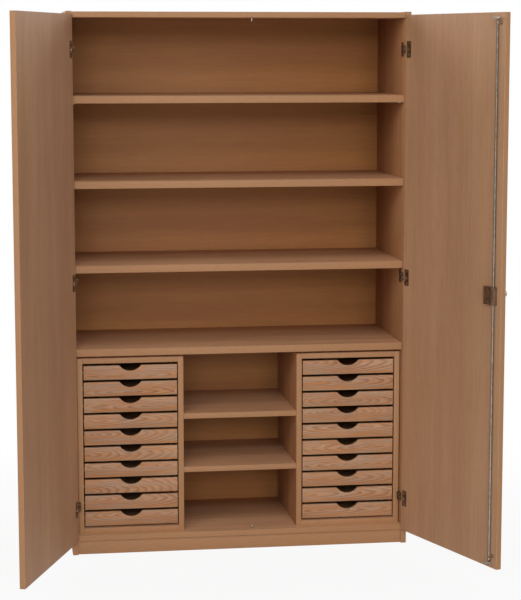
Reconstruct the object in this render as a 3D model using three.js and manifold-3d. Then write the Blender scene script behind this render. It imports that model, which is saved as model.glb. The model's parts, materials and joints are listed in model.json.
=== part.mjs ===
import * as THREE from 'three';
import Module from 'manifold-3d';
import { mergeVertices } from 'three/addons/utils/BufferGeometryUtils.js';

// Tall two-door school cupboard with shelves above and two ten-tray inserts below.
// Millimetres, Z up, the open front faces -Y. The origin lies on the floor under the middle of the plinth.

// Carcass
const WIDTH = 1200;
const HEIGHT = 1900;
const DEPTH = 500;
const BOARD = 19;
const TOP_DROP = 2;
const PLINTH_HEIGHT = 50;
const PLINTH_SETBACK = 10;
const BACK_THICKNESS = 8;
const BACK_RECESS = 16;
const GROOVE_DEPTH = 8;
const GROOVE_PLAY = 0.4;

// Shelves
const UPPER_SHELVES = 3;
const SHELF_THICKNESS = 25;
const SHELF_SETBACK = 12;
const SHELF_END_PLAY = 0.5;
const SHELF_BACK_PLAY = 2;
const CENTRE_SHELF_RISES = [423, 230];

// Tray inserts
const INSERT_WIDTH = 374;
const INSERT_HEIGHT = 628.5;
const INSERT_BACK_GAP = 16;
const INSERT_TOP_GAP = 9.5;
const INSERT_SETBACK = 30;
const INSERT_PLATE_PLAY = 0.5;
const TRAYS_PER_INSERT = 10;

// Trays
const TRAY_BACK_GAP = 5;
const TRAY_GAP = 8.5;
const TRAY_SIDE_GAP = 4;
const TRAY_RECESS = 1;
const FRONT_THICKNESS = 12;
const BOX_SIDE_GAP = 5;
const BOX_WALL = 12;
const BOX_LIFT = 2;
const BOX_BASE = 5;
const BOX_DROP = 6;
const SCOOP_RADIUS = 46.5;
const SCOOP_DEPTH = 20;
const SCOOP_EASING = 4;

// Runners on the insert sides and their grooves in the tray sides
const RUNNER_HEIGHT = 8;
const RUNNER_REACH = 11;
const RUNNER_LOW = 18;
const RUNNER_PLAY = 0.3;
const RUNNER_TIP_PLAY = 0.5;
const RUNNER_START = 8;
const GROOVE_START = 6;

// Doors
const DOOR_THICKNESS = 19;
const DOOR_LIFT = 2;
const DOOR_DROP = 11;
const DOOR_EDGE_REVEAL = 1.5;
const DOOR_MEETING_GAP = 2;
const DOOR_FACE_GAP = 3;
const DOOR_CORNER = 2;
const DOOR_OPEN_DEGREES = 109.5;

// Cup hinges: the swing axis is measured from the door's hinge edge and from its inner face
const AXIS_FROM_EDGE = 8.25;
const AXIS_FROM_FACE = 9.25;
const HINGE_END_DISTANCE = 119;
const MIDDLE_HINGE_GAP = 4.5;
const CUP_RADIUS = 13;
const CUP_DEPTH = 12;
const CUP_WALL = 1;
const CUP_FROM_EDGE = 23;
const FLANGE_THICKNESS = 1;
const FLANGE_MARGIN = 0.5;
const FLANGE_HALF_HEIGHT = 29;
const FLANGE_CORNER = 5;
const PLATE_THICKNESS = 4;
const PLATE_FRONT = 6;
const PLATE_BACK = 52;
const WING_DEPTH = 18;
const WING_HALF_HEIGHT = 25;
const WING_CORNER = 5;
const ARM_STANDOFF = 2.6;
const ARM_HEIGHT = 8;
const ARM_HALF_WIDTH = 13;
const ARM_FRONT = 0.5;
const ARM_BACK = 27.5;
const ARM_CHAMFER = 3;
const TONGUE_HALF_WIDTH = 6.5;
const TONGUE_REACH = 13;
const SEAT_GAP = 0.3;

// Rod lock on the right door
const ROD_RADIUS = 4;
const ROD_FROM_EDGE = 34;
const ROD_FROM_FACE = 7;
const ROD_PLAY = 0.5;
const ROD_LOW_GAP = 4;
const ROD_HIGH_GAP = 5;
const CLAW_THICKNESS = 6;
const CLAW_HUB_RADIUS = 6;
const CLAW_INNER_RADIUS = 24.5;
const CLAW_OUTER_RADIUS = 29;
const CLAW_ARM_WIDTH = 7;
const CLAW_ARM_DEGREES = 150;
const CLAW_TIP_DEGREES = 103;
const CASE_WIDTH = 60;
const CASE_HEIGHT = 58;
const CASE_DEPTH = 14;
const LOCK_HEIGHT = 968;
const CASE_PAST_ROD = 12;
const CASE_CORNER = 2;
const ROD_HOUSING_RADIUS = 8.5;
const CYLINDER_FROM_EDGE = 32;
const CYLINDER_RISE = 7;
const CYLINDER_RADIUS = 10.5;
const CYLINDER_BODY_RADIUS = 9;
const CYLINDER_REACH = 20;
const CYLINDER_PLAY = 0.4;
const KEYWAY_WIDTH = 2.6;
const KEYWAY_HEIGHT = 9;
const KEYWAY_DEPTH = 7;
const ROSETTE_RADIUS = 14;
const ROSETTE_THICKNESS = 5;
const PIN_RADIUS = 3;
const PIN_LENGTH = 13;
const PIN_FROM_ROD_X = 5.5;
const PIN_FROM_ROD_Y = 20;
const ROUND_SEGMENTS = 24;
const CORNER_SEGMENTS = 3;
const SWEEP_SEGMENTS = 10;

// Levels and planes that follow from the sizes above
const frontY = -(PLINTH_SETBACK + BOARD / 2);
const backY = frontY + DEPTH;
const backPanelY = backY - BACK_RECESS - BACK_THICKNESS;
const innerX = WIDTH / 2 - BOARD;
const bottomTop = PLINTH_HEIGHT + BOARD;
const topHigh = HEIGHT - TOP_DROP;
const topLow = topHigh - BOARD;
const shelfFrontY = frontY + SHELF_SETBACK;
const shelfBackY = backPanelY - SHELF_BACK_PLAY;
const insertFrontY = frontY + INSERT_SETBACK;
const insertBackY = backPanelY - INSERT_BACK_GAP;
const insertHigh = bottomTop + INSERT_HEIGHT;
const fixedShelfTop = insertHigh + INSERT_TOP_GAP + SHELF_THICKNESS;
const insertInnerWidth = INSERT_WIDTH - 2 * BOARD;
const insertCentreX = innerX - PLATE_THICKNESS - INSERT_PLATE_PLAY - INSERT_WIDTH / 2;
const centreHalf = insertCentreX - INSERT_WIDTH / 2;
const trayClear = INSERT_HEIGHT - 2 * BOARD;
const frontHeight = (trayClear - TRAY_GAP * (TRAYS_PER_INSERT + 1)) / TRAYS_PER_INSERT;
const frontWidth = insertInnerWidth - 2 * TRAY_SIDE_GAP;
const boxWidth = insertInnerWidth - 2 * BOX_SIDE_GAP;
const trayFrontY = insertFrontY + TRAY_RECESS;
const trayLength = insertBackY - TRAY_BACK_GAP - trayFrontY;
const doorLow = PLINTH_HEIGHT + DOOR_LIFT;
const doorHigh = HEIGHT - DOOR_DROP;
const doorFaceY = frontY - DOOR_FACE_GAP;
const doorOuterY = doorFaceY - DOOR_THICKNESS;
const hingeX = WIDTH / 2 - DOOR_EDGE_REVEAL - AXIS_FROM_EDGE;
const hingeY = doorFaceY - AXIS_FROM_FACE;
const rodX = DOOR_MEETING_GAP / 2 + ROD_FROM_EDGE;
const rodY = doorFaceY + ROD_FROM_FACE;
const rodLow = bottomTop + ROD_LOW_GAP;
const rodHigh = topLow - ROD_HIGH_GAP;
const caseLow = LOCK_HEIGHT - CASE_HEIGHT / 2;
const caseHigh = LOCK_HEIGHT + CASE_HEIGHT / 2;
const cylinderX = DOOR_MEETING_GAP / 2 + CYLINDER_FROM_EDGE;
const cylinderZ = LOCK_HEIGHT + CYLINDER_RISE;

const wasm = await Module();
wasm.setup();

function toSolid(geometry) {
  const plain = geometry.index ? geometry.toNonIndexed() : geometry.clone();
  plain.deleteAttribute('normal');
  plain.deleteAttribute('uv');
  const merged = mergeVertices(plain, 1e-4);
  const mesh = new wasm.Mesh({
    numProp: 3,
    vertProperties: new Float32Array(merged.attributes.position.array),
    triVerts: new Uint32Array(merged.index.array),
  });
  return new wasm.Manifold(mesh);
}

function toGeometry(solid) {
  const mesh = solid.getMesh();
  const geometry = new THREE.BufferGeometry();
  geometry.setAttribute('position', new THREE.BufferAttribute(new Float32Array(mesh.vertProperties), 3));
  geometry.setIndex(new THREE.BufferAttribute(new Uint32Array(mesh.triVerts), 1));
  geometry.computeVertexNormals();
  return geometry;
}

function block(lowX, highX, lowY, highY, lowZ, highZ) {
  const geometry = new THREE.BoxGeometry(highX - lowX, highY - lowY, highZ - lowZ);
  geometry.translate((lowX + highX) / 2, (lowY + highY) / 2, (lowZ + highZ) / 2);
  return geometry;
}

function shapeOf(points) {
  return new THREE.Shape(points.map(([a, b]) => new THREE.Vector2(a, b)));
}

function extrude(shape, length, segments = CORNER_SEGMENTS) {
  return new THREE.ExtrudeGeometry(shape, { depth: length, bevelEnabled: false, curveSegments: segments });
}

// Profile in X and Y, standing from one height to another
function standing(shape, lowZ, highZ, segments) {
  const geometry = extrude(shape, highZ - lowZ, segments);
  geometry.translate(0, 0, lowZ);
  return geometry;
}

// Profile in Y and Z, running across the width
function across(shape, lowX, highX) {
  const geometry = extrude(shape, highX - lowX);
  const turn = new THREE.Matrix4().makeBasis(
    new THREE.Vector3(0, 1, 0),
    new THREE.Vector3(0, 0, 1),
    new THREE.Vector3(1, 0, 0),
  );
  geometry.applyMatrix4(turn);
  geometry.translate(lowX, 0, 0);
  return geometry;
}

// Profile in X and Z, running from front to back
function deep(shape, lowY, highY, segments) {
  const geometry = extrude(shape, highY - lowY, segments);
  geometry.rotateX(Math.PI / 2);
  geometry.translate(0, highY, 0);
  return geometry;
}

function roundAlongY(radius, x, z, lowY, highY) {
  const geometry = new THREE.CylinderGeometry(radius, radius, highY - lowY, ROUND_SEGMENTS);
  geometry.translate(x, (lowY + highY) / 2, z);
  return geometry;
}

function roundAlongZ(radius, x, y, lowZ, highZ) {
  const geometry = new THREE.CylinderGeometry(radius, radius, highZ - lowZ, ROUND_SEGMENTS);
  geometry.rotateX(Math.PI / 2);
  geometry.translate(x, y, (lowZ + highZ) / 2);
  return geometry;
}

function roundedBox(lowA, highA, lowB, highB, radius) {
  const shape = new THREE.Shape();
  shape.moveTo(lowA + radius, lowB);
  shape.lineTo(highA - radius, lowB);
  shape.absarc(highA - radius, lowB + radius, radius, -Math.PI / 2, 0, false);
  shape.lineTo(highA, highB - radius);
  shape.absarc(highA - radius, highB - radius, radius, 0, Math.PI / 2, false);
  shape.lineTo(lowA + radius, highB);
  shape.absarc(lowA + radius, highB - radius, radius, Math.PI / 2, Math.PI, false);
  shape.lineTo(lowA, lowB + radius);
  shape.absarc(lowA + radius, lowB + radius, radius, Math.PI, 1.5 * Math.PI, false);
  return shape;
}

const beech = { color: 0xb98a5e, roughness: 0.55, metalness: 0 };
const beechDoor = { color: 0xa87f58, roughness: 0.5, metalness: 0 };
const trayVeneer = { color: 0xc19a78, roughness: 0.5, metalness: 0 };
const hingeSteel = { color: 0x6f6a64, roughness: 0.35, metalness: 1 };
const rodSteel = { color: 0x9a9894, roughness: 0.3, metalness: 1 };
const brownPaint = { color: 0x4a3428, roughness: 0.5, metalness: 0 };
const nickel = { color: 0xb9b6b0, roughness: 0.2, metalness: 1 };

function piece(name, geometry, finish) {
  const mesh = new THREE.Mesh(geometry, new THREE.MeshStandardMaterial(finish));
  mesh.name = name;
  return mesh;
}

const cupboard = new THREE.Group();
cupboard.name = 'school_cupboard';

// Carcass: the sides run from floor to top, and a groove in sides, top and bottom holds the back panel
const grooveFront = backPanelY - GROOVE_PLAY / 2;
const grooveBack = backPanelY + BACK_THICKNESS + GROOVE_PLAY / 2;
for (const [name, side] of [['left_side', -1], ['right_side', 1]]) {
  const outer = side * WIDTH / 2;
  const inner = side * innerX;
  const floor = side * (innerX + GROOVE_DEPTH);
  const plan = shapeOf([
    [outer, frontY], [inner, frontY],
    [inner, grooveFront], [floor, grooveFront], [floor, grooveBack], [inner, grooveBack],
    [inner, backY], [outer, backY],
  ]);
  cupboard.add(piece(name, standing(plan, 0, HEIGHT), beech));
}
const topProfile = shapeOf([
  [frontY, topLow], [grooveFront, topLow],
  [grooveFront, topLow + GROOVE_DEPTH], [grooveBack, topLow + GROOVE_DEPTH],
  [grooveBack, topLow], [backY, topLow], [backY, topHigh], [frontY, topHigh],
]);
cupboard.add(piece('top_panel', across(topProfile, -innerX, innerX), beech));
const bottomProfile = shapeOf([
  [frontY, PLINTH_HEIGHT], [backY, PLINTH_HEIGHT], [backY, bottomTop], [grooveBack, bottomTop],
  [grooveBack, bottomTop - GROOVE_DEPTH], [grooveFront, bottomTop - GROOVE_DEPTH],
  [grooveFront, bottomTop], [frontY, bottomTop],
]);
cupboard.add(piece('bottom_panel', across(bottomProfile, -innerX, innerX), beech));
const backReach = GROOVE_DEPTH - GROOVE_PLAY;
cupboard.add(piece('back_panel', block(
  -innerX - backReach, innerX + backReach,
  backPanelY, backPanelY + BACK_THICKNESS,
  bottomTop - backReach, topLow + backReach,
), beech));
cupboard.add(piece('plinth_board', block(
  -innerX, innerX,
  frontY + PLINTH_SETBACK, frontY + PLINTH_SETBACK + BOARD,
  0, PLINTH_HEIGHT,
), beech));

// Shelves: the fixed one closes the tray part, the loose ones divide the upper part evenly
function shelf(name, halfWidth, front, top, thickness) {
  const half = halfWidth - SHELF_END_PLAY;
  return piece(name, block(-half, half, front, shelfBackY, top - thickness, top), beech);
}
cupboard.add(shelf('fixed_shelf', innerX, shelfFrontY, fixedShelfTop, SHELF_THICKNESS));
const upperClear = (topLow - fixedShelfTop - UPPER_SHELVES * SHELF_THICKNESS) / (UPPER_SHELVES + 1);
for (let index = 1; index <= UPPER_SHELVES; index += 1) {
  const top = topLow - index * upperClear - (index - 1) * SHELF_THICKNESS;
  cupboard.add(shelf(`upper_shelf_${index}`, innerX, shelfFrontY, top, SHELF_THICKNESS));
}
CENTRE_SHELF_RISES.forEach((rise, index) => {
  cupboard.add(shelf(`centre_shelf_${index + 1}`, centreHalf, insertFrontY, bottomTop + rise, BOARD));
});

// Tray inserts: each side carries one runner strip per tray
const trayPitch = frontHeight + TRAY_GAP;
const lowestTray = bottomTop + BOARD + TRAY_GAP;
const runnerStartY = trayFrontY + FRONT_THICKNESS + RUNNER_START;
function insertSide(centreX, side) {
  const inner = centreX + side * insertInnerWidth / 2;
  const outer = centreX + side * INSERT_WIDTH / 2;
  const tip = inner - side * RUNNER_REACH;
  const root = (inner + outer) / 2;
  let solid = toSolid(block(
    Math.min(inner, outer), Math.max(inner, outer),
    insertFrontY, insertBackY, bottomTop, insertHigh,
  ));
  for (let index = 0; index < TRAYS_PER_INSERT; index += 1) {
    const low = lowestTray + index * trayPitch + RUNNER_LOW;
    solid = solid.add(toSolid(block(
      Math.min(tip, root), Math.max(tip, root),
      runnerStartY, insertBackY, low, low + RUNNER_HEIGHT,
    )));
  }
  return toGeometry(solid);
}

// Tray: a box hung by its side grooves, behind a front with a half-moon finger scoop with eased corners
function scoopedFront() {
  const half = frontWidth / 2;
  const rise = SCOOP_RADIUS - SCOOP_DEPTH;
  const easingZ = frontHeight - SCOOP_EASING;
  const reach = Math.sqrt((SCOOP_RADIUS + SCOOP_EASING) ** 2 - (rise + SCOOP_EASING) ** 2);
  const meet = Math.atan2(rise + SCOOP_EASING, reach);
  const shape = new THREE.Shape();
  shape.moveTo(-half, 0);
  shape.lineTo(half, 0);
  shape.lineTo(half, frontHeight);
  shape.lineTo(reach, frontHeight);
  shape.absarc(reach, easingZ, SCOOP_EASING, Math.PI / 2, Math.PI - meet, false);
  shape.absarc(0, frontHeight + rise, SCOOP_RADIUS, -meet, meet - Math.PI, true);
  shape.absarc(-reach, easingZ, SCOOP_EASING, meet, Math.PI / 2, false);
  shape.lineTo(-half, frontHeight);
  return shape;
}

function trayGeometry() {
  const half = boxWidth / 2;
  const grooveDepth = RUNNER_REACH - BOX_SIDE_GAP + RUNNER_TIP_PLAY;
  const front = toSolid(deep(scoopedFront(), 0, FRONT_THICKNESS, SWEEP_SEGMENTS));
  let box = toSolid(block(
    -half, half, FRONT_THICKNESS / 2, trayLength, BOX_LIFT, frontHeight - BOX_DROP,
  ));
  box = box.subtract(toSolid(block(
    -half + BOX_WALL, half - BOX_WALL, 0, trayLength - BOX_WALL, BOX_LIFT + BOX_BASE, frontHeight,
  )));
  for (const side of [-1, 1]) {
    const floor = side * (half - grooveDepth);
    const past = side * (half + grooveDepth);
    box = box.subtract(toSolid(block(
      Math.min(floor, past), Math.max(floor, past),
      FRONT_THICKNESS + GROOVE_START, trayLength + GROOVE_START,
      RUNNER_LOW - RUNNER_PLAY, RUNNER_LOW + RUNNER_HEIGHT + RUNNER_PLAY,
    )));
  }
  return toGeometry(box.add(front));
}

const trayShape = trayGeometry();
for (const [label, side] of [['left', -1], ['right', 1]]) {
  const centreX = side * insertCentreX;
  const half = insertInnerWidth / 2;
  cupboard.add(piece(`${label}_insert_left_side`, insertSide(centreX, -1), beech));
  cupboard.add(piece(`${label}_insert_right_side`, insertSide(centreX, 1), beech));
  cupboard.add(piece(`${label}_insert_top`, block(
    centreX - half, centreX + half, insertFrontY, insertBackY, insertHigh - BOARD, insertHigh,
  ), beech));
  cupboard.add(piece(`${label}_insert_bottom`, block(
    centreX - half, centreX + half, insertFrontY, insertBackY, bottomTop, bottomTop + BOARD,
  ), beech));
  for (let index = 1; index <= TRAYS_PER_INSERT; index += 1) {
    const tray = piece(`${label}_tray_${index}`, trayShape.clone(), trayVeneer);
    tray.position.set(centreX, trayFrontY, lowestTray + (TRAYS_PER_INSERT - index) * trayPitch);
    cupboard.add(tray);
  }
}

// Concealed hinges: the arm and its plate stay on the cupboard side, the cup is let into the door.
// The middle pair sits just under the lowest loose shelf
const middleShelfLow = topLow - UPPER_SHELVES * (upperClear + SHELF_THICKNESS);
const hingeLevels = [
  doorHigh - HINGE_END_DISTANCE,
  middleShelfLow - MIDDLE_HINGE_GAP - WING_HALF_HEIGHT,
  doorLow + HINGE_END_DISTANCE,
];

// Cross-shaped plate on the side that carries the arm, whose tongue enters the cup when the door closes.
// The wings of the lowest plates reach into the gap beside the tray inserts
function hingeArm(side, level) {
  const nearX = Math.min(side * innerX, side * (innerX - PLATE_THICKNESS));
  const plateBackY = frontY + PLATE_BACK;
  const spine = toSolid(block(
    nearX, nearX + PLATE_THICKNESS,
    frontY + PLATE_FRONT, plateBackY,
    level - ARM_HALF_WIDTH, level + ARM_HALF_WIDTH,
  ));
  const wings = toSolid(across(
    roundedBox(
      plateBackY - WING_DEPTH, plateBackY,
      level - WING_HALF_HEIGHT, level + WING_HALF_HEIGHT,
      WING_CORNER,
    ),
    nearX,
    nearX + PLATE_THICKNESS,
  ));
  const outerX = innerX - ARM_STANDOFF;
  const highX = outerX - ARM_HEIGHT;
  const tailY = frontY + ARM_BACK;
  const tipY = frontY - TONGUE_REACH;
  const armPlan = shapeOf([
    [side * outerX, tailY], [side * outerX, frontY + ARM_FRONT],
    [side * highX, frontY + ARM_FRONT],
    [side * highX, tailY - ARM_CHAMFER], [side * (highX + ARM_CHAMFER), tailY],
  ]);
  const tonguePlan = shapeOf([
    [side * outerX, tailY - ARM_CHAMFER], [side * outerX, tipY + ARM_CHAMFER / 2],
    [side * (outerX - ARM_CHAMFER / 2), tipY],
    [side * (highX + ARM_CHAMFER), tipY], [side * highX, tipY + ARM_CHAMFER],
    [side * highX, tailY - ARM_CHAMFER],
  ]);
  const arm = toSolid(standing(armPlan, level - ARM_HALF_WIDTH, level + ARM_HALF_WIDTH));
  const tongue = toSolid(standing(tonguePlan, level - TONGUE_HALF_WIDTH, level + TONGUE_HALF_WIDTH));
  return toGeometry(spine.add(wings).add(arm).add(tongue));
}

function hingeCup(x, level) {
  const flangeLow = doorFaceY + SEAT_GAP;
  const flangeHigh = flangeLow + FLANGE_THICKNESS;
  const flangeHalfWidth = CUP_RADIUS + FLANGE_MARGIN;
  const flange = toSolid(deep(
    roundedBox(
      x - flangeHalfWidth, x + flangeHalfWidth,
      level - FLANGE_HALF_HEIGHT, level + FLANGE_HALF_HEIGHT,
      FLANGE_CORNER,
    ),
    flangeLow,
    flangeHigh,
  ));
  const cup = toSolid(roundAlongY(CUP_RADIUS, x, level, doorFaceY - CUP_DEPTH, flangeHigh));
  const hollow = toSolid(roundAlongY(
    CUP_RADIUS - CUP_WALL, x, level, doorFaceY - CUP_DEPTH + CUP_WALL, flangeHigh + CUP_WALL,
  ));
  return toGeometry(flange.add(cup).subtract(hollow));
}

// Door leaves hang in the open position on their hinge axis; their pieces are laid out as if closed
function doorLeaf(side) {
  const nearEdge = side * DOOR_MEETING_GAP / 2;
  const farEdge = side * (WIDTH / 2 - DOOR_EDGE_REVEAL);
  const plan = roundedBox(
    Math.min(nearEdge, farEdge), Math.max(nearEdge, farEdge), doorOuterY, doorFaceY, DOOR_CORNER,
  );
  let leaf = toSolid(standing(plan, doorLow, doorHigh));
  for (const level of hingeLevels) {
    leaf = leaf.subtract(toSolid(roundAlongY(
      CUP_RADIUS + SEAT_GAP, farEdge - side * CUP_FROM_EDGE, level,
      doorFaceY - CUP_DEPTH - SEAT_GAP, doorFaceY + SEAT_GAP,
    )));
  }
  return leaf;
}

function hungLeaf(name, side) {
  const group = new THREE.Group();
  group.name = name;
  group.position.set(side * hingeX, hingeY, 0);
  group.rotation.z = side * THREE.MathUtils.degToRad(DOOR_OPEN_DEGREES);
  cupboard.add(group);
  return (pieceName, geometry, finish) => {
    geometry.translate(-side * hingeX, -hingeY, 0);
    group.add(piece(pieceName, geometry, finish));
  };
}

for (const [label, side] of [['left', -1], ['right', 1]]) {
  const hang = hungLeaf(`${label}_leaf`, side);
  let leaf = doorLeaf(side);
  if (side > 0) {
    leaf = leaf.subtract(toSolid(roundAlongY(
      CYLINDER_BODY_RADIUS + CYLINDER_PLAY, cylinderX, cylinderZ,
      doorOuterY - CYLINDER_PLAY, doorFaceY + CYLINDER_PLAY,
    )));
  }
  hang(`${label}_door`, toGeometry(leaf), beechDoor);
  const cupX = side * (WIDTH / 2 - DOOR_EDGE_REVEAL - CUP_FROM_EDGE);
  hingeLevels.forEach((level, index) => {
    cupboard.add(piece(`${label}_hinge_arm_${index + 1}`, hingeArm(side, level), hingeSteel));
    hang(`${label}_hinge_cup_${index + 1}`, hingeCup(cupX, level), hingeSteel);
  });
  if (side > 0) {
    hang('lock_case', lockCase(), brownPaint);
    hang('lock_rod', lockRod(), rodSteel);
    hang('lock_rosette', lockRosette(), nickel);
    hang('lock_cylinder', lockCylinder(), nickel);
  }
}

// Rod lock: the claws at both ends of the rod turn round the strike pins behind the closed door
function lockCase() {
  const near = rodX - CASE_PAST_ROD;
  const far = near + CASE_WIDTH;
  const plan = roundedBox(near, far, doorFaceY + SEAT_GAP, doorFaceY + CASE_DEPTH, CASE_CORNER);
  const body = toSolid(standing(plan, caseLow, caseHigh));
  const barrel = toSolid(roundAlongZ(ROD_HOUSING_RADIUS, rodX, rodY, caseLow, caseHigh));
  const frontHalf = toSolid(block(near, far, rodY, doorFaceY + 2 * CASE_DEPTH, caseLow, caseHigh));
  const channel = toSolid(roundAlongZ(
    ROD_RADIUS + ROD_PLAY, rodX, rodY, caseLow - ROD_PLAY, caseHigh + ROD_PLAY,
  ));
  return toGeometry(body.add(barrel.intersect(frontHalf)).subtract(channel));
}

function claw(lowZ) {
  const highZ = lowZ + CLAW_THICKNESS;
  const armAngle = THREE.MathUtils.degToRad(CLAW_ARM_DEGREES);
  const tipAngle = THREE.MathUtils.degToRad(CLAW_TIP_DEGREES);
  const heelAngle = armAngle + CLAW_ARM_WIDTH / 2 / CLAW_OUTER_RADIUS;
  const hub = toSolid(roundAlongZ(CLAW_HUB_RADIUS, rodX, rodY, lowZ, highZ));
  const reach = (CLAW_INNER_RADIUS + CLAW_OUTER_RADIUS) / 2;
  const bar = block(0, reach, -CLAW_ARM_WIDTH / 2, CLAW_ARM_WIDTH / 2, lowZ, highZ);
  bar.rotateZ(armAngle);
  bar.translate(rodX, rodY, 0);
  const sweep = new THREE.Shape();
  sweep.absarc(0, 0, CLAW_OUTER_RADIUS, tipAngle, heelAngle, false);
  sweep.absarc(0, 0, CLAW_INNER_RADIUS, heelAngle, tipAngle, true);
  const finger = standing(sweep, lowZ, highZ, SWEEP_SEGMENTS);
  finger.translate(rodX, rodY, 0);
  return hub.add(toSolid(bar)).add(toSolid(finger));
}

function lockRod() {
  const bar = toSolid(roundAlongZ(ROD_RADIUS, rodX, rodY, rodLow, rodHigh));
  return toGeometry(bar.add(claw(rodLow)).add(claw(rodHigh - CLAW_THICKNESS)));
}

function lockRosette() {
  const seat = doorOuterY - SEAT_GAP;
  const face = seat - ROSETTE_THICKNESS;
  const ring = toSolid(roundAlongY(ROSETTE_RADIUS, cylinderX, cylinderZ, face, seat));
  const eye = toSolid(roundAlongY(
    CYLINDER_RADIUS + CYLINDER_PLAY, cylinderX, cylinderZ, face - SEAT_GAP, seat + SEAT_GAP,
  ));
  return toGeometry(ring.subtract(eye));
}

function lockCylinder() {
  const seat = doorOuterY - SEAT_GAP;
  const face = seat - CYLINDER_REACH;
  const head = toSolid(roundAlongY(CYLINDER_RADIUS, cylinderX, cylinderZ, face, seat));
  const body = toSolid(roundAlongY(CYLINDER_BODY_RADIUS, cylinderX, cylinderZ, face, doorFaceY - SEAT_GAP));
  const keyway = toSolid(block(
    cylinderX - KEYWAY_WIDTH / 2, cylinderX + KEYWAY_WIDTH / 2,
    face - SEAT_GAP, face + KEYWAY_DEPTH,
    cylinderZ - KEYWAY_HEIGHT / 2, cylinderZ + KEYWAY_HEIGHT / 2,
  ));
  return toGeometry(head.add(body).subtract(keyway));
}

const pinX = rodX + PIN_FROM_ROD_X;
const pinY = rodY + PIN_FROM_ROD_Y;
const topPin = roundAlongZ(PIN_RADIUS, pinX, pinY, topLow - PIN_LENGTH, topLow);
const bottomPin = roundAlongZ(PIN_RADIUS, pinX, pinY, bottomTop, bottomTop + PIN_LENGTH);
cupboard.add(piece('top_strike_pin', topPin, rodSteel));
cupboard.add(piece('bottom_strike_pin', bottomPin, rodSteel));

export default cupboard;
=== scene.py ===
import json
import math

import bmesh
import bpy
from mathutils import Matrix, Vector


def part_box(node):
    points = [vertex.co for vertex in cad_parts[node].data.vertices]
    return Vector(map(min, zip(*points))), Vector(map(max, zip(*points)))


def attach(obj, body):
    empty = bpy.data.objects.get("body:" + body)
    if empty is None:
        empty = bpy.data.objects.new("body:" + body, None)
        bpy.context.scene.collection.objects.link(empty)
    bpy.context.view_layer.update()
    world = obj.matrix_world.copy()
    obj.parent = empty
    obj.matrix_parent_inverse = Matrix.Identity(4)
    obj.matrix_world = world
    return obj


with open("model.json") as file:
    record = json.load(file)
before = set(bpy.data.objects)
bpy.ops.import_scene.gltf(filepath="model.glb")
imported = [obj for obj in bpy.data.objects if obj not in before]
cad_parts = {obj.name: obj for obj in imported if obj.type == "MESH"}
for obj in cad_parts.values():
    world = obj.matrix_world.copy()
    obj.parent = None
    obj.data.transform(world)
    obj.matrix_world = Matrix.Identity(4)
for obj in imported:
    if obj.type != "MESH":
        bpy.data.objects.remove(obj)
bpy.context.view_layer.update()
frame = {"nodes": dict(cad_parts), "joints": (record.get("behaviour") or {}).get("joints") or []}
nodes = frame["nodes"]
scene = bpy.context.scene
scene.view_settings.view_transform = "Standard"

joints = {joint["name"]: joint for joint in frame["joints"]}


def middle(node):
    low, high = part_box(node)
    return (low + high) / 2


def leaf_matrix(side):
    """Carries a door from closed to its open rest position; side is -1 for the left door, 1 for the right."""
    axis = Vector((side * HINGE_X, HINGE_Y, 0))
    return Matrix.Translation(axis) @ Matrix.Rotation(side * DOOR_OPEN, 4, "Z") @ Matrix.Translation(-axis)


def closed_box(node):
    """Low and high corner of a solid on the right door, as it lies when that door is closed."""
    obj = nodes[node]
    points = [RIGHT_LEAF.inverted() @ obj.matrix_world @ corner.co for corner in obj.data.vertices]
    return Vector(map(min, zip(*points))), Vector(map(max, zip(*points)))


# Places that the added pieces and the grain follow, in metres, doors as if closed
HINGE_X, HINGE_Y = joints["right_door_hinge"]["pos_m"][:2]
DOOR_OPEN = math.radians(-joints["right_door_hinge"]["range_deg"][0])
LEFT_LEAF = leaf_matrix(-1)
RIGHT_LEAF = leaf_matrix(1)
DOOR_FACE_Y = closed_box("right_door")[1].y
CUP_LOW, CUP_HIGH = closed_box("right_hinge_cup_1")
CUP_X = (CUP_LOW.x + CUP_HIGH.x) / 2
INNER_X, FRONT_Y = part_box("right_side")[0].xy
CENTRE_BAY_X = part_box("right_insert_left_side")[0].x
ARM_LOW, ARM_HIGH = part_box("right_hinge_arm_1")
HINGE_LEVELS = [middle(f"right_hinge_arm_{number}").z for number in (1, 2, 3)]
ROD_X, ROD_Y = (RIGHT_LEAF.inverted() @ Vector(joints["rod_turn"]["pos_m"])).xy
ROD_LOW, ROD_HIGH = (corner.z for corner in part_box("lock_rod"))
LOWEST_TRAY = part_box("left_tray_10")[0].z
FRONT_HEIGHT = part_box("left_tray_10")[1].z - LOWEST_TRAY
TRAY_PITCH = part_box("left_tray_9")[0].z - LOWEST_TRAY
TRAY_X = middle("right_tray_1").x


# Shader building

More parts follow.
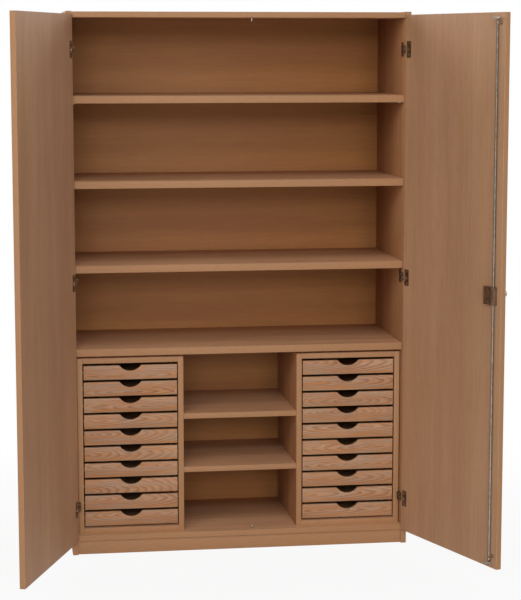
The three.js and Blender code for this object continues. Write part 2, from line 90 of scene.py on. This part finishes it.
class Tree:
    """A node tree with short calls for its nodes."""

    def __init__(self, tree):
        self.tree = tree

    def put(self, target, value):
        if isinstance(value, bpy.types.NodeSocket):
            self.tree.links.new(value, target)
        else:
            target.default_value = value

    def node(self, kind, inputs=None, **settings):
        made = self.tree.nodes.new(kind)
        for key, value in settings.items():
            setattr(made, key, value)
        for key, value in (inputs or {}).items():
            self.put(made.inputs[key], value)
        return made

    def math(self, operation, a, b=0.0, c=0.0):
        return self.node("ShaderNodeMath", {0: a, 1: b, 2: c}, operation=operation).outputs[0]

    def times(self, a, b):
        return self.math("MULTIPLY", a, b)

    def total(self, first, *others):
        for other in others:
            first = self.math("ADD", first, other)
        return first

    def about(self, level, value, amount):
        """A value between 0 and 1, spread by the amount about the level."""
        return self.math("MULTIPLY_ADD", value, amount, level - amount / 2)

    def vector(self, operation, a, b=(0, 0, 0)):
        return self.node("ShaderNodeVectorMath", {0: a, 1: b}, operation=operation).outputs[0]

    def noise(self, coordinates, scale, detail=2.0, rough=0.5):
        """Noise with the given waves per metre along X, Y and Z."""
        stretched = self.vector("MULTIPLY", coordinates, scale)
        inputs = {"Vector": stretched, "Scale": 1.0, "Detail": detail, "Roughness": rough}
        return self.node("ShaderNodeTexNoise", inputs).outputs["Fac"]

    def span(self, value, low, high, to_low=0.0, to_high=1.0):
        inputs = {0: value, 1: low, 2: high, 3: to_low, 4: to_high}
        return self.node("ShaderNodeMapRange", inputs, interpolation_type="SMOOTHSTEP").outputs[0]

    def mix(self, factor, a, b, blend="MIX"):
        made = self.node("ShaderNodeMix", data_type="RGBA", blend_type=blend)
        self.put(made.inputs["Factor"], factor)
        self.put(made.inputs[6], a)
        self.put(made.inputs[7], b)
        return made.outputs[2]

    def split(self, vector):
        return self.node("ShaderNodeSeparateXYZ", {0: vector}).outputs

    def join(self, x, y, z):
        return self.node("ShaderNodeCombineXYZ", {0: x, 1: y, 2: z}).outputs[0]

    def turned(self, vector, angle):
        inputs = {"Vector": vector, "Angle": angle}
        return self.node("ShaderNodeVectorRotate", inputs, rotation_type="Z_AXIS").outputs[0]

    def seen(self):
        """1 where a surface is seen, straight or in a reflection, and 0 where it lights others."""
        path = self.node("ShaderNodeLightPath").outputs
        straight = self.math("MAXIMUM", path["Is Camera Ray"], path["Is Glossy Ray"])
        return self.math("MAXIMUM", straight, path["Is Transmission Ray"])


class Surface(Tree):
    """A material with a Principled shader."""

    def __init__(self, name):
        self.material = bpy.data.materials.new(name)
        self.material.use_nodes = True
        super().__init__(self.material.node_tree)
        self.shader = next(n for n in self.tree.nodes if n.type == "BSDF_PRINCIPLED")

    def set(self, **values):
        for key, value in values.items():
            self.put(self.shader.inputs[key.replace("_", " ")], value)

    def bump(self, height, strength, distance):
        inputs = {"Height": height, "Strength": strength, "Distance": distance}
        self.put(self.shader.inputs["Normal"], self.node("ShaderNodeBump", inputs).outputs[0])


def srgb(code):
    channels = [int(code[i:i + 2], 16) / 255 for i in (1, 3, 5)]
    return [c / 12.92 if c <= 0.04045 else ((c + 0.055) / 1.055) ** 2.4 for c in channels] + [1.0]


def sizes_of(surface, normal):
    return [surface.math("ABSOLUTE", part) for part in surface.split(normal)]


def rounded_mask(surface, normal):
    """How far a face lies on a rounded edge, between the main directions."""
    x, y, z = sizes_of(surface, normal)
    largest = surface.math("MAXIMUM", x, surface.math("MAXIMUM", y, z))
    return surface.span(largest, 0.97, 0.80)


def banded_mask(surface, normal, axes):
    """How far a face looks along one of the given axes, as an edge with edging does."""
    parts = dict(zip("XYZ", sizes_of(surface, normal)))
    banded = 0.0
    for axis in axes:
        banded = surface.math("MAXIMUM", banded, surface.span(parts[axis], 0.6, 0.9))
    return banded


# Laminate: lighter and darker streaks of each kind of board, edging, flecks and worn edges. The boards are
# lit and shaded copies of one beech laminate, each tone pair set to how bright that kind of board shows:
# painted light in the door and level tones, painted shade in the darker side and back tones
SIDE_TONES_SHADED = (srgb("#b3835c"), srgb("#996a48"))
LEVEL_TONES_LIT = (srgb("#d0a37f"), srgb("#b08463"))
BACK_TONES_SHADED = (srgb("#a8723f"), srgb("#8d5a2d"))
DOOR_TONES_LIT = (srgb("#c89d7b"), srgb("#aa7f60"))
EDGING = srgb("#ad805a")
EDGING_FLECK = srgb("#7a5232")
LAMINATE_FLECK = srgb("#4a2f1d")
LAMINATE_WORN = srgb("#d3ad85")

# Slight shifts of hue from streak to streak
YELLOWER = (1.0, 1.012, 0.92, 1.0)
PINKER = (1.015, 0.98, 1.04, 1.0)


def laminate(name, grain, band_axes, tones, turn=0.0, streak=1.0, outside=None):
    """Beech-grain laminate: broad streaks, fine lines and short dark flecks along the grain.

    Faces along band_axes have solid edging. Faces that look away from the middle of the cupboard have the
    outside tones, where these are given, and the faces towards the middle keep the darker tones as painted
    shade. turn takes an open door back to where it lies when closed.
    """
    s = Surface(name)
    place = s.node("ShaderNodeTexCoord")
    p = s.turned(place.outputs["Object"], turn)
    n = s.turned(place.outputs["Normal"], turn)

    def along(length, width):
        """Waves per metre along and across the grain."""
        return (length, width, width) if grain == "X" else (width, width, length)

    sway = s.about(0.0, s.noise(p, along(1.3, 5.0), 2.0), 0.03)
    p_sway = s.vector("ADD", p, s.join(sway, sway, sway))
    broad = s.noise(p_sway, along(0.7, 11.0), 3.0, 0.55)
    lines = s.noise(p_sway, along(3.5, 130.0), 3.0, 0.6)
    fleck = s.span(s.noise(p, along(95.0, 900.0), 1.0), 0.60, 0.70)
    cloud = s.noise(p, (2.1, 2.1, 2.1), 2.0)
    dash = s.noise(p, along(20.0, 240.0), 2.0, 0.6)
    shift = s.noise(p_sway, along(1.0, 34.0), 3.0, 0.6)

    tone = s.total(
        s.about(0.5, broad, 1.1 * streak),
        s.about(0.0, dash, 0.6 * streak),
        s.about(0.0, lines, 0.7 * streak),
        s.about(0.0, cloud, 0.3),
    )
    tone = s.span(tone, 0.1, 0.9)
    colour = s.mix(tone, tones[1], tones[0])
    # Painted shade: faces towards the middle of the cupboard keep the darker tones, faces looking away take
    # the outside tones
    if outside:
        away = s.span(s.times(s.split(p)[0], s.split(n)[0]), 0.0, 0.3)
        colour = s.mix(away, colour, s.mix(tone, outside[1], outside[0]))
    colour = s.mix(s.times(fleck, 0.16), colour, LAMINATE_FLECK)
    colour = s.mix(s.span(shift, 0.51, 0.64), colour, YELLOWER, "MULTIPLY")
    colour = s.mix(s.span(shift, 0.49, 0.36), colour, PINKER, "MULTIPLY")

    if band_axes:
        edging_fleck = s.span(s.noise(p, along(60.0, 700.0), 2.0), 0.5, 0.68)
        edging = s.mix(s.times(edging_fleck, 0.22), EDGING, EDGING_FLECK)
        colour = s.mix(banded_mask(s, n, band_axes), colour, edging)
    worn = s.span(s.noise(p, (35.0, 35.0, 35.0), 3.0), 0.4, 0.65)
    wear = s.times(rounded_mask(s, n), worn)
    colour = s.mix(s.times(wear, 0.35), colour, LAMINATE_WORN)

    s.set(Base_Color=colour)
    s.set(Roughness=s.total(s.about(0.60, lines, 0.12), s.times(wear, 0.15)))
    s.set(Specular_IOR_Level=0.35)
    s.bump(s.total(lines, s.times(fleck, -0.6)), 0.12, 0.0004)
    return s.material


# Veneer of the trays: ground, streaks, growth lines, flecks and edges
VENEER_LIGHT = srgb("#c29672")
VENEER_DARK = srgb("#a27552")
VENEER_ORANGE = srgb("#ba7c49")
VENEER_GREY = srgb("#a98e78")
GROWTH_LINE = srgb("#855333")
VENEER_FLECK = srgb("#58351d")
VENEER_EDGE = srgb("#caa278")
VENEER_WORN = srgb("#d4ad85")
RINGS_PER_METRE = 200.0
# A tray still counts to its own level a little below its foot
LEVEL_SLACK = 0.003


def tray_veneer():
    """Flat-cut beech veneer: arched growth lines that differ from front to front."""
    s = Surface("tray_veneer")
    place = s.node("ShaderNodeTexCoord")
    p = place.outputs["Object"]
    normal = place.outputs["Normal"]
    x, _, z = s.split(p)
    index = s.math("FLOOR", s.math("DIVIDE", s.math("SUBTRACT", z, LOWEST_TRAY - LEVEL_SLACK), TRAY_PITCH))
    side = s.math("SIGN", x)
    half_way = s.math("MULTIPLY_ADD", index, TRAY_PITCH, LOWEST_TRAY + FRONT_HEIGHT / 2)
    seed = s.join(index, side, 3.0)
    chance = s.node("ShaderNodeTexWhiteNoise", {"Vector": seed}, noise_dimensions="3D").outputs["Color"]
    first, second, third = s.split(chance)
    run = s.math("SUBTRACT", x, s.times(side, TRAY_X))
    drop = s.math("SUBTRACT", z, half_way)

    shifted = s.vector("ADD", p, s.vector("MULTIPLY", chance, (3.0, 3.0, 3.0)))
    sway = s.noise(shifted, (7.0, 7.0, 26.0), 3.0, 0.55)
    fine = s.noise(shifted, (11.0, 60.0, 420.0), 3.0, 0.6)
    fleck = s.span(s.noise(shifted, (120.0, 900.0, 1000.0), 1.0), 0.6, 0.7)
    broad = s.noise(shifted, (2.6, 2.6, 24.0), 2.0)
    streak = s.noise(shifted, (8.0, 8.0, 120.0), 3.0)

    # Rings of a trunk whose pith runs at a small slant behind the front
    slant = s.about(0.12, second, 0.10)
    start = s.about(-0.06, first, 0.32)
    depth = s.times(s.math("SUBTRACT", run, start), slant)
    across = s.total(drop, s.about(0.0, third, 0.036), s.about(0.0, sway, 0.016))
    ring = s.math("SQRT", s.total(s.times(depth, depth), s.times(across, across)))
    ring = s.total(ring, s.times(sway, 0.012))
    wave = s.math("FRACT", s.times(ring, RINGS_PER_METRE))
    line = s.times(s.span(wave, 0.3, 0.9), s.span(wave, 1.0, 0.94))

    # The lines are strong on the fronts and faint on the other faces
    front = s.span(s.split(normal)[1], -0.5, -0.8)
    strength = s.about(0.5, s.noise(shifted, (6.0, 6.0, 14.0), 1.0), 1.1)
    strength = s.times(strength, s.math("MULTIPLY_ADD", front, 0.75, 0.25))

    tone = s.total(s.about(0.5, broad, 0.9), s.about(0.0, fine, 1.1))
    colour = s.mix(s.span(tone, 0.1, 0.9), VENEER_DARK, VENEER_LIGHT)
    colour = s.mix(s.times(s.span(streak, 0.50, 0.64), 0.70), colour, VENEER_ORANGE)
    colour = s.mix(s.times(s.span(streak, 0.48, 0.36), 0.60), colour, VENEER_GREY)
    colour = s.mix(s.times(line, strength), colour, GROWTH_LINE)
    colour = s.mix(s.times(fleck, 0.18), colour, VENEER_FLECK)
    colour = s.mix(s.times(banded_mask(s, normal, "Z"), 0.5), colour, VENEER_EDGE)
    worn = s.span(s.noise(p, (40.0, 40.0, 40.0), 3.0), 0.35, 0.6)
    wear = s.times(rounded_mask(s, normal), worn)
    colour = s.mix(s.times(wear, 0.5), colour, VENEER_WORN)

    s.set(Base_Color=colour)
    s.set(Roughness=s.about(0.49, fine, 0.14))
    s.set(Specular_IOR_Level=0.35)
    s.bump(s.total(fine, s.times(line, -0.4)), 0.15, 0.0004)
    return s.material


RUBBED_STEEL = srgb("#b9b2a8")


def metal(name, colour, spot, grain, rough, rub=0.4):
    """Drawn or pressed metal: fine lines one way, dull spots and rubbed edges.

    grain gives the waves of the lines per metre along X, Y and Z.
    """
    s = Surface(name)
    place = s.node("ShaderNodeTexCoord")
    p = place.outputs["Object"]
    lines = s.noise(p, grain, 2.0, 0.6)
    cloud = s.noise(p, (90.0, 90.0, 90.0), 3.0)
    rounded = rounded_mask(s, place.outputs["Normal"])
    tint = s.mix(s.span(cloud, 0.35, 0.7), srgb(colour), srgb(spot))
    tint = s.mix(s.times(rounded, rub), tint, RUBBED_STEEL)
    s.set(Base_Color=tint, Metallic=1.0)
    s.set(Roughness=s.total(s.about(rough, lines, 0.2), s.times(cloud, 0.1)))
    s.bump(lines, 0.06, 0.0002)
    return s.material


def lacquer(name, colour, deep, rubbed):
    """Lacquer on the right door, with a faint orange-peel and bare metal showing at rubbed edges."""
    s = Surface(name)
    place = s.node("ShaderNodeTexCoord")
    p = place.outputs["Object"]
    cloud = s.noise(p, (60.0, 60.0, 60.0), 3.0)
    peel = s.noise(p, (900.0, 900.0, 900.0), 2.0)
    rounded = rounded_mask(s, s.turned(place.outputs["Normal"], -DOOR_OPEN))
    tint = s.mix(s.span(cloud, 0.3, 0.7), srgb(deep), srgb(colour))
    wear = s.times(rounded, s.span(cloud, 0.45, 0.6))
    tint = s.mix(s.times(wear, 0.6), tint, srgb(rubbed))
    s.set(Base_Color=tint)
    s.set(Roughness=s.about(0.42, cloud, 0.2))
    s.bump(peel, 0.08, 0.0002)
    return s.material


# Lit and shaded copies of one laminate: painted light in the door and level tones, painted shade in the side
# and back tones
upright = laminate("beech_upright", "Z", "Y", SIDE_TONES_SHADED)
# Carcass sides: darker tones on the inner faces as painted shade, door tones on the outer faces
flank_shaded_inside = laminate("beech_flank_shaded_inside", "Z", "Y", SIDE_TONES_SHADED, outside=DOOR_TONES_LIT)
level = laminate("beech_level", "X", "Y", LEVEL_TONES_LIT)
panel = laminate("beech_panel", "X", "", BACK_TONES_SHADED, streak=0.55)
left_face = laminate("beech_left_door", "Z", "XZ", DOOR_TONES_LIT, turn=DOOR_OPEN, streak=0.6)
right_face = laminate("beech_right_door", "Z", "XZ", DOOR_TONES_LIT, turn=-DOOR_OPEN, streak=0.6)
veneer = tray_veneer()
# Hinge cups and arms: dark brown metal colours, painted reflection of the wood round them and painted shade
plated_wood_reflection = metal("hinge_plating_wood_reflection", "#86664c", "#654a35", grain=(60, 60, 900), rough=0.50, rub=0.10)
arm_steel_wood_reflection = metal("arm_steel_wood_reflection", "#624835", "#483222", grain=(60, 60, 900), rough=0.60, rub=0.05)
bright = metal("rod_steel", "#8a8077", "#70675e", grain=(700, 700, 30), rough=0.42, rub=0.15)
pin_steel = metal("pin_steel", "#b3ada4", "#969087", grain=(500, 500, 60), rough=0.30)
nickel = metal("cylinder_nickel", "#a39d95", "#8a847b", grain=(400, 400, 400), rough=0.26)
dark_steel = metal("screw_steel", "#5d5248", "#473e36", grain=(300, 300, 300), rough=0.40, rub=0.2)
brown = lacquer("lock_lacquer", "#71533c", "#573f2c", "#8f7c67")
tan = lacquer("guide_lacquer", "#8f6d4f", "#75563b", "#a8947c")


# Shading of the solids: joined corners, small rounded edges, smooth curved faces
WELD_DISTANCE = 0.00002
SHARP_ANGLE = math.radians(35)
ROUNDED_ANGLE = math.radians(40)
ROUNDING_STEPS = 2
WIDE_ROUNDING = 0.0008
MIDDLE_ROUNDING = 0.0006
SMALL_ROUNDING = 0.0005
FINE_ROUNDING = 0.0004
SHEET_ROUNDING = 0.0003


def smoothing():
    """Modifier group that shades everything smooth apart from the sharp edges."""
    group = bpy.data.node_groups.new("soft_shading", "GeometryNodeTree")
    group.interface.new_socket("Geometry", in_out="INPUT", socket_type="NodeSocketGeometry")
    group.interface.new_socket("Geometry", in_out="OUTPUT", socket_type="NodeSocketGeometry")
    add = group.nodes.new
    start = add("NodeGroupInput")
    end = add("NodeGroupOutput")
    angle = add("GeometryNodeInputMeshEdgeAngle")
    smooth = add("FunctionNodeCompare")
    smooth.data_type = "FLOAT"
    smooth.operation = "LESS_EQUAL"
    smooth.inputs[1].default_value = SHARP_ANGLE
    edges = add("GeometryNodeSetShadeSmooth")
    edges.domain = "EDGE"
    faces = add("GeometryNodeSetShadeSmooth")
    faces.domain = "FACE"
    link = group.links.new
    link(angle.outputs["Unsigned Angle"], smooth.inputs[0])
    link(start.outputs[0], edges.inputs["Geometry"])
    link(smooth.outputs[0], edges.inputs["Shade Smooth"])
    link(edges.outputs[0], faces.inputs["Geometry"])
    link(faces.outputs[0], end.inputs[0])
    return group


SMOOTH = smoothing()


def soften(obj, width):
    weld = obj.modifiers.new("weld", "WELD")
    weld.merge_threshold = WELD_DISTANCE
    if width:
        bevel = obj.modifiers.new("edges", "BEVEL")
        bevel.width = width
        bevel.segments = ROUNDING_STEPS
        bevel.limit_method = "ANGLE"
        bevel.angle_limit = ROUNDED_ANGLE
    shade = obj.modifiers.new("shade", "NODES")
    shade.node_group = SMOOTH


def finish_of(name):
    """Material and edge rounding of a solid."""
    if name == "left_door":
        return left_face, 0
    if name == "right_door":
        return right_face, 0
    if "tray" in name:
        return veneer, MIDDLE_ROUNDING
    if name == "back_panel":
        return panel, MIDDLE_ROUNDING
    if name == "plinth_board":
        return level, MIDDLE_ROUNDING
    if name in ("left_side", "right_side"):
        return flank_shaded_inside, WIDE_ROUNDING
    if name.endswith("_side"):
        return upright, WIDE_ROUNDING
    if "hinge_arm" in name:
        return arm_steel_wood_reflection, MIDDLE_ROUNDING
    if "hinge_cup" in name:
        return plated_wood_reflection, FINE_ROUNDING
    if "pin" in name:
        return pin_steel, SMALL_ROUNDING
    if name == "lock_rod":
        return bright, SMALL_ROUNDING
    if name == "lock_case":
        return brown, WIDE_ROUNDING
    if name.startswith("lock_"):
        return nickel, MIDDLE_ROUNDING
    return level, WIDE_ROUNDING


for node_name, node_object in nodes.items():
    material, rounding = finish_of(node_name)
    node_object.data.materials.clear()
    node_object.data.materials.append(material)
    soften(node_object, rounding)


# Added pieces

def new_piece(name, build, material, body, rounding=0):
    mesh = bpy.data.meshes.new(name)
    work = bmesh.new()
    build(work)
    bmesh.ops.recalc_face_normals(work, faces=work.faces)
    work.to_mesh(mesh)
    work.free()
    obj = bpy.data.objects.new(name, mesh)
    scene.collection.objects.link(obj)
    mesh.materials.append(material)
    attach(obj, body)
    soften(obj, rounding)


def looking_along(direction):
    """Rotation that turns +Z to the given direction."""
    return Vector((0, 0, 1)).rotation_difference(Vector(direction)).to_matrix().to_4x4()


def join_rings(work, rings):
    """Faces between each ring of points and the next."""
    for low, high in zip(rings, rings[1:]):
        for i in range(len(low)):
            j = (i + 1) % len(low)
            work.faces.new((low[i], low[j], high[j], high[i]))


# Screw heads, as (radius, height)
CUP_SCREW = (0.0042, 0.0012)
PLATE_SCREW = (0.0042, 0.0004)
SETTING_SCREW = (0.0036, 0.0009)
GUIDE_SCREW = (0.0032, 0.0010)
CASE_SCREW = (0.0034, 0.0012)

# Form of a head, in shares of its radius and height
SCREW_PROFILE = [
    (1.0, 0.0), (1.0, 0.25), (0.97, 0.42), (0.88, 0.66), (0.74, 0.84), (0.56, 0.95),
    (0.44, 0.98), (0.34, 0.99), (0.24, 1.0), (0.15, 1.0), (0.07, 1.0),
]
RECESS_HALF_WIDTH = 0.11
RECESS_REACH = 0.6
RECESS_DEPTH = 0.75
SCREW_SIDES = 32


def screw_into(work, place, size, twist):
    """Rounded screw head with a cross recess; its foot lies in the XY plane of place, looking along +Z."""
    radius, height = size
    rings = []
    for r, h in SCREW_PROFILE:
        ring = []
        for i in range(SCREW_SIDES):
            turn = 2 * math.pi * i / SCREW_SIDES
            off_cross = min(abs(math.sin(turn)), abs(math.cos(turn))) * r
            sunk = RECESS_DEPTH if off_cross < RECESS_HALF_WIDTH and r < RECESS_REACH else 0.0
            x = math.cos(turn + twist) * r
            y = math.sin(turn + twist) * r
            point = Vector((x * radius, y * radius, (h - sunk) * height))
            ring.append(work.verts.new(place @ point))
        rings.append(ring)
    join_rings(work, rings)
    work.faces.new(rings[-1])
    work.faces.new(list(reversed(rings[0])))


def turned_into(work, place, profile, around=24):
    """Solid of revolution about +Z of place, from (radius, height) points that start and end on the axis."""
    ends = [work.verts.new(place @ Vector((0, 0, profile[k][1]))) for k in (0, -1)]
    rings = []
    for r, h in profile[1:-1]:
        ring = []
        for i in range(around):
            turn = 2 * math.pi * i / around
            ring.append(work.verts.new(place @ Vector((r * math.cos(turn), r * math.sin(turn), h))))
        rings.append(ring)
    join_rings(work, rings)
    for i in range(around):
        j = (i + 1) % around
        work.faces.new((ends[0], rings[0][j], rings[0][i]))
        work.faces.new((ends[1], rings[-1][i], rings[-1][j]))


# Screws of the hinge cups, on the inner faces of the doors
CUP_SCREW_RISE = 0.0215


def cup_screws(side, leaf):
    def build(work):
        for row, height in enumerate(HINGE_LEVELS):
            for sign in (-1, 1):
                foot = Vector((side * CUP_X, CUP_HIGH.y, height + sign * CUP_SCREW_RISE))
                place = leaf @ Matrix.Translation(foot) @ looking_along((0, 1, 0))
                screw_into(work, place, CUP_SCREW, 0.4 + row + sign)
    return build


new_piece("left_cup_screws", cup_screws(-1, LEFT_LEAF), dark_steel, "left_leaf")
new_piece("right_cup_screws", cup_screws(1, RIGHT_LEAF), dark_steel, "right_leaf")


# Flat screws of the hinge plates on the sides, and the two setting screws on each arm
PLATE_THICKNESS = 0.004
PLATE_SCREW_INSET = 0.009
PLATE_SCREW_RISE = 0.0188
SETTING_SCREW_REACHES = (0.007, 0.019)


def plate_screws(work):
    for side in (-1, 1):
        for row, height in enumerate(HINGE_LEVELS):
            for sign in (-1, 1):
                plate_x = side * (INNER_X - PLATE_THICKNESS)
                foot = Vector((plate_x, ARM_HIGH.y - PLATE_SCREW_INSET, height + sign * PLATE_SCREW_RISE))
                place = Matrix.Translation(foot) @ looking_along((-side, 0, 0))
                screw_into(work, place, PLATE_SCREW, 0.7 * row + sign)
            for reach in SETTING_SCREW_REACHES:
                foot = Vector((side * ARM_LOW.x, FRONT_Y + reach, height))
                place = Matrix.Translation(foot) @ looking_along((-side, 0, 0))
                screw_into(work, place, SETTING_SCREW, 0.3 * row + reach * 90)


new_piece("plate_screws", plate_screws, dark_steel, "cupboard")


# Guides that hold the turning rod to the door: a strap with two feet, near each end of the rod
GUIDE_LEVELS = (ROD_HIGH - 0.024, ROD_LOW + 0.015)
GUIDE_HEIGHT = 0.012
GUIDE_OUTER_RADIUS = 0.0066
GUIDE_INNER_RADIUS = 0.0048
GUIDE_HALF_WIDTH = 0.017
GUIDE_FOOT_THICKNESS = 0.0016
GUIDE_FOOT_Y = DOOR_FACE_Y + 0.0002
GUIDE_SCREW_OFFSET = 0.012
ARC_STEPS = 12


def guide_outline():
    """Outline of a guide seen along the rod, as points (across the rod, away from the door)."""
    outer = GUIDE_OUTER_RADIUS
    inner = GUIDE_INNER_RADIUS
    wide = GUIDE_HALF_WIDTH
    thick = GUIDE_FOOT_THICKNESS
    rise = ROD_Y - GUIDE_FOOT_Y
    arc = [math.pi - math.pi * k / ARC_STEPS for k in range(ARC_STEPS + 1)]
    outline = [(-wide, 0.0), (-wide, thick), (-outer, thick)]
    outline += [(outer * math.cos(a), rise + outer * math.sin(a)) for a in arc]
    outline += [(outer, thick), (wide, thick), (wide, 0.0), (inner, 0.0)]
    outline += [(inner * math.cos(a), rise + inner * math.sin(a)) for a in reversed(arc)]
    outline += [(-inner, 0.0)]
    return outline


def rod_guides(work):
    outline = guide_outline()
    for low in GUIDE_LEVELS:
        rings = []
        for z in (low, low + GUIDE_HEIGHT):
            points = [Vector((ROD_X + across, GUIDE_FOOT_Y + away, z)) for across, away in outline]
            rings.append([work.verts.new(RIGHT_LEAF @ point) for point in points])
        join_rings(work, rings)
        work.faces.new(list(reversed(rings[0])))
        work.faces.new(rings[1])


new_piece("rod_guides", rod_guides, tan, "right_leaf", SHEET_ROUNDING)


def guide_screws(work):
    for low in GUIDE_LEVELS:
        for offset in (-GUIDE_SCREW_OFFSET, GUIDE_SCREW_OFFSET):
            foot = Vector((ROD_X + offset, GUIDE_FOOT_Y + GUIDE_FOOT_THICKNESS, low + GUIDE_HEIGHT / 2))
            place = RIGHT_LEAF @ Matrix.Translation(foot) @ looking_along((0, 1, 0))
            screw_into(work, place, GUIDE_SCREW, 0.5 + 40 * offset + low)


new_piece("guide_screws", guide_screws, bright, "right_leaf")


# Screws in the flat face of the lock case, beside the rod
CASE_DEPTH = 0.014
CASE_SCREW_FROM_ROD = 0.026
CASE_SCREW_FROM_EDGE = 0.009


def case_screws(work):
    case_low, case_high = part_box("lock_case")
    for z in (case_low.z + CASE_SCREW_FROM_EDGE, case_high.z - CASE_SCREW_FROM_EDGE):
        foot = Vector((ROD_X + CASE_SCREW_FROM_ROD, DOOR_FACE_Y + CASE_DEPTH, z))
        place = RIGHT_LEAF @ Matrix.Translation(foot) @ looking_along((0, 1, 0))
        screw_into(work, place, CASE_SCREW, 9 * z)


new_piece("case_screws", case_screws, dark_steel, "right_leaf")


# Steel pegs that carry the loose shelves, each with a flange against the board it sits in
PEG_RADIUS = 0.0025
PEG_TIP_RADIUS = 0.0012
PEG_LENGTH = 0.0090
FLANGE_RADIUS = 0.0042
FLANGE_THICKNESS = 0.0017
PEG_EASE = 0.0004
PEG_PLAY = 0.0001
PEG_FROM_EDGE = 0.060


def shelf_pegs(work):
    profile = [
        (0, 0.0),
        (FLANGE_RADIUS - PEG_EASE, 0.0),
        (FLANGE_RADIUS, PEG_EASE),
        (FLANGE_RADIUS, FLANGE_THICKNESS - PEG_EASE),
        (FLANGE_RADIUS - PEG_EASE, FLANGE_THICKNESS - PEG_EASE / 4),
        (PEG_RADIUS, FLANGE_THICKNESS),
        (PEG_RADIUS, PEG_LENGTH - 2 * PEG_EASE),
        (PEG_RADIUS - PEG_EASE, PEG_LENGTH - PEG_EASE / 2),
        (PEG_TIP_RADIUS, PEG_LENGTH),
        (0, PEG_LENGTH),
    ]
    carried = [("upper_shelf_1", INNER_X), ("upper_shelf_2", INNER_X), ("upper_shelf_3", INNER_X)]
    carried += [("centre_shelf_1", CENTRE_BAY_X), ("centre_shelf_2", CENTRE_BAY_X)]
    for shelf, wall_x in carried:
        low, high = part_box(shelf)
        for y in (low.y + PEG_FROM_EDGE, high.y - PEG_FROM_EDGE):
            for side in (-1, 1):
                foot = Vector((side * wall_x, y, low.z - PEG_RADIUS - PEG_PLAY))
                turned_into(work, Matrix.Translation(foot) @ looking_along((-side, 0, 0)), profile)


new_piece("shelf_pegs", shelf_pegs, pin_steel, "cupboard")


# Floor, just under the feet; it keeps a soft shadow near the cupboard and fades to white round it
FLOOR_HALF = 9
FLOOR_Z = -0.0005
FLOOR_GREY = (0.65, 0.65, 0.65, 1)
FADE_START = 0.7
FADE_END = 2.2
WHITE_NEAR = 0.92
WHITE = (1, 1, 1, 1)


def floor_surface():
    s = Surface("white_floor")
    s.set(Base_Color=FLOOR_GREY, Roughness=0.9, Specular_IOR_Level=0.1)
    glow = s.node("ShaderNodeEmission", {"Color": WHITE, "Strength": 1.0})
    place = s.node("ShaderNodeTexCoord").outputs["Object"]
    away = s.node("ShaderNodeVectorMath", {0: place}, operation="LENGTH").outputs["Value"]
    share = s.times(s.seen(), s.span(away, FADE_START, FADE_END, WHITE_NEAR, 1.0))
    blend = s.node("ShaderNodeMixShader", {0: share, 1: s.shader.outputs[0], 2: glow.outputs[0]})
    output = next(n for n in s.tree.nodes if n.type == "OUTPUT_MATERIAL")
    s.put(output.inputs["Surface"], blend.outputs[0])
    return s.material


floor_mesh = bpy.data.meshes.new("floor")
corners = [(x * FLOOR_HALF, y * FLOOR_HALF, FLOOR_Z) for x, y in ((-1, -1), (1, -1), (1, 1), (-1, 1))]
floor_mesh.from_pydata(corners, [], [(0, 1, 2, 3)])
floor = bpy.data.objects.new("floor", floor_mesh)
scene.collection.objects.link(floor)
floor_mesh.materials.append(floor_surface())


# White surroundings that light the cupboard only a little
AMBIENT = 0.11

world = bpy.data.worlds.new("studio")
scene.world = world
world.use_nodes = True
sky = Tree(world.node_tree)
background = next(n for n in sky.tree.nodes if n.type == "BACKGROUND")
sky_strength = sky.node("ShaderNodeMapRange", {0: sky.seen(), 3: AMBIENT, 4: 1.0})
sky.put(background.inputs["Strength"], sky_strength.outputs[0])
sky.put(background.inputs["Color"], WHITE)


# Soft lamps, all turned to the cupboard; powers in watts
CUPBOARD_MIDDLE = (0.1, 0.0, 0.9)
FRONT_SIZE = (6.0, 1.4)
FRONT_LAMPS = (("front_low", 0.8, 137), ("front", 3.6, 290), ("front_high", 6.4, 230))
SIDE_SIZE = (1.6, 1.6)
WARM = (1.0, 0.94, 0.82)
COOL = (0.88, 0.95, 1.0)


def lamp(name, place, target, size, power, colour=(1, 1, 1)):
    light = bpy.data.lights.new(name, "AREA")
    light.shape = "RECTANGLE"
    light.size, light.size_y = size
    light.energy = power
    light.color = colour
    obj = bpy.data.objects.new(name, light)
    scene.collection.objects.link(obj)
    obj.location = place
    obj.rotation_euler = (Vector(target) - Vector(place)).to_track_quat("-Z", "Y").to_euler()


lamp("key", (-3.0, -4.4, 3.8), CUPBOARD_MIDDLE, (2.4, 2.4), 70, WARM)
for lamp_name, lamp_height, lamp_power in FRONT_LAMPS:
    lamp(lamp_name, (-0.5, -11.0, lamp_height), CUPBOARD_MIDDLE, FRONT_SIZE, lamp_power)
lamp("left", (-4.6, -1.4, 2.8), (0.7, -0.4, 0.95), SIDE_SIZE, 8)
lamp("right", (4.6, -1.8, 2.4), (-0.7, -0.4, 0.95), SIDE_SIZE, 16, COOL)
for lamp_name, lamp_x in (("behind_left", -4.2), ("behind_right", 4.2)):
    lamp(lamp_name, (lamp_x, 3.2, 3.0), (0.0, 0.2, 0.9), (2.2, 2.2), 90)


# Camera; the focal length is given in pixels of a picture 600 pixels high
PICTURE_HEIGHT = 600
FOCAL_PIXELS = 1856.9
SENSOR_WIDTH = 36.0
CAMERA_PLACE = (-0.8662, -6.4212, 1.7714)
CAMERA_TILT_DOWN = 7.70
CAMERA_TURN_RIGHT = 8.304

camera = bpy.data.cameras.new("camera")
camera.sensor_fit = "AUTO"
camera.sensor_width = SENSOR_WIDTH
camera.lens = SENSOR_WIDTH * FOCAL_PIXELS / PICTURE_HEIGHT
camera_object = bpy.data.objects.new("camera", camera)
scene.collection.objects.link(camera_object)
camera_object.location = CAMERA_PLACE
camera_object.rotation_euler = (math.radians(90 - CAMERA_TILT_DOWN), 0.0, math.radians(-CAMERA_TURN_RIGHT))
scene.camera = camera_object
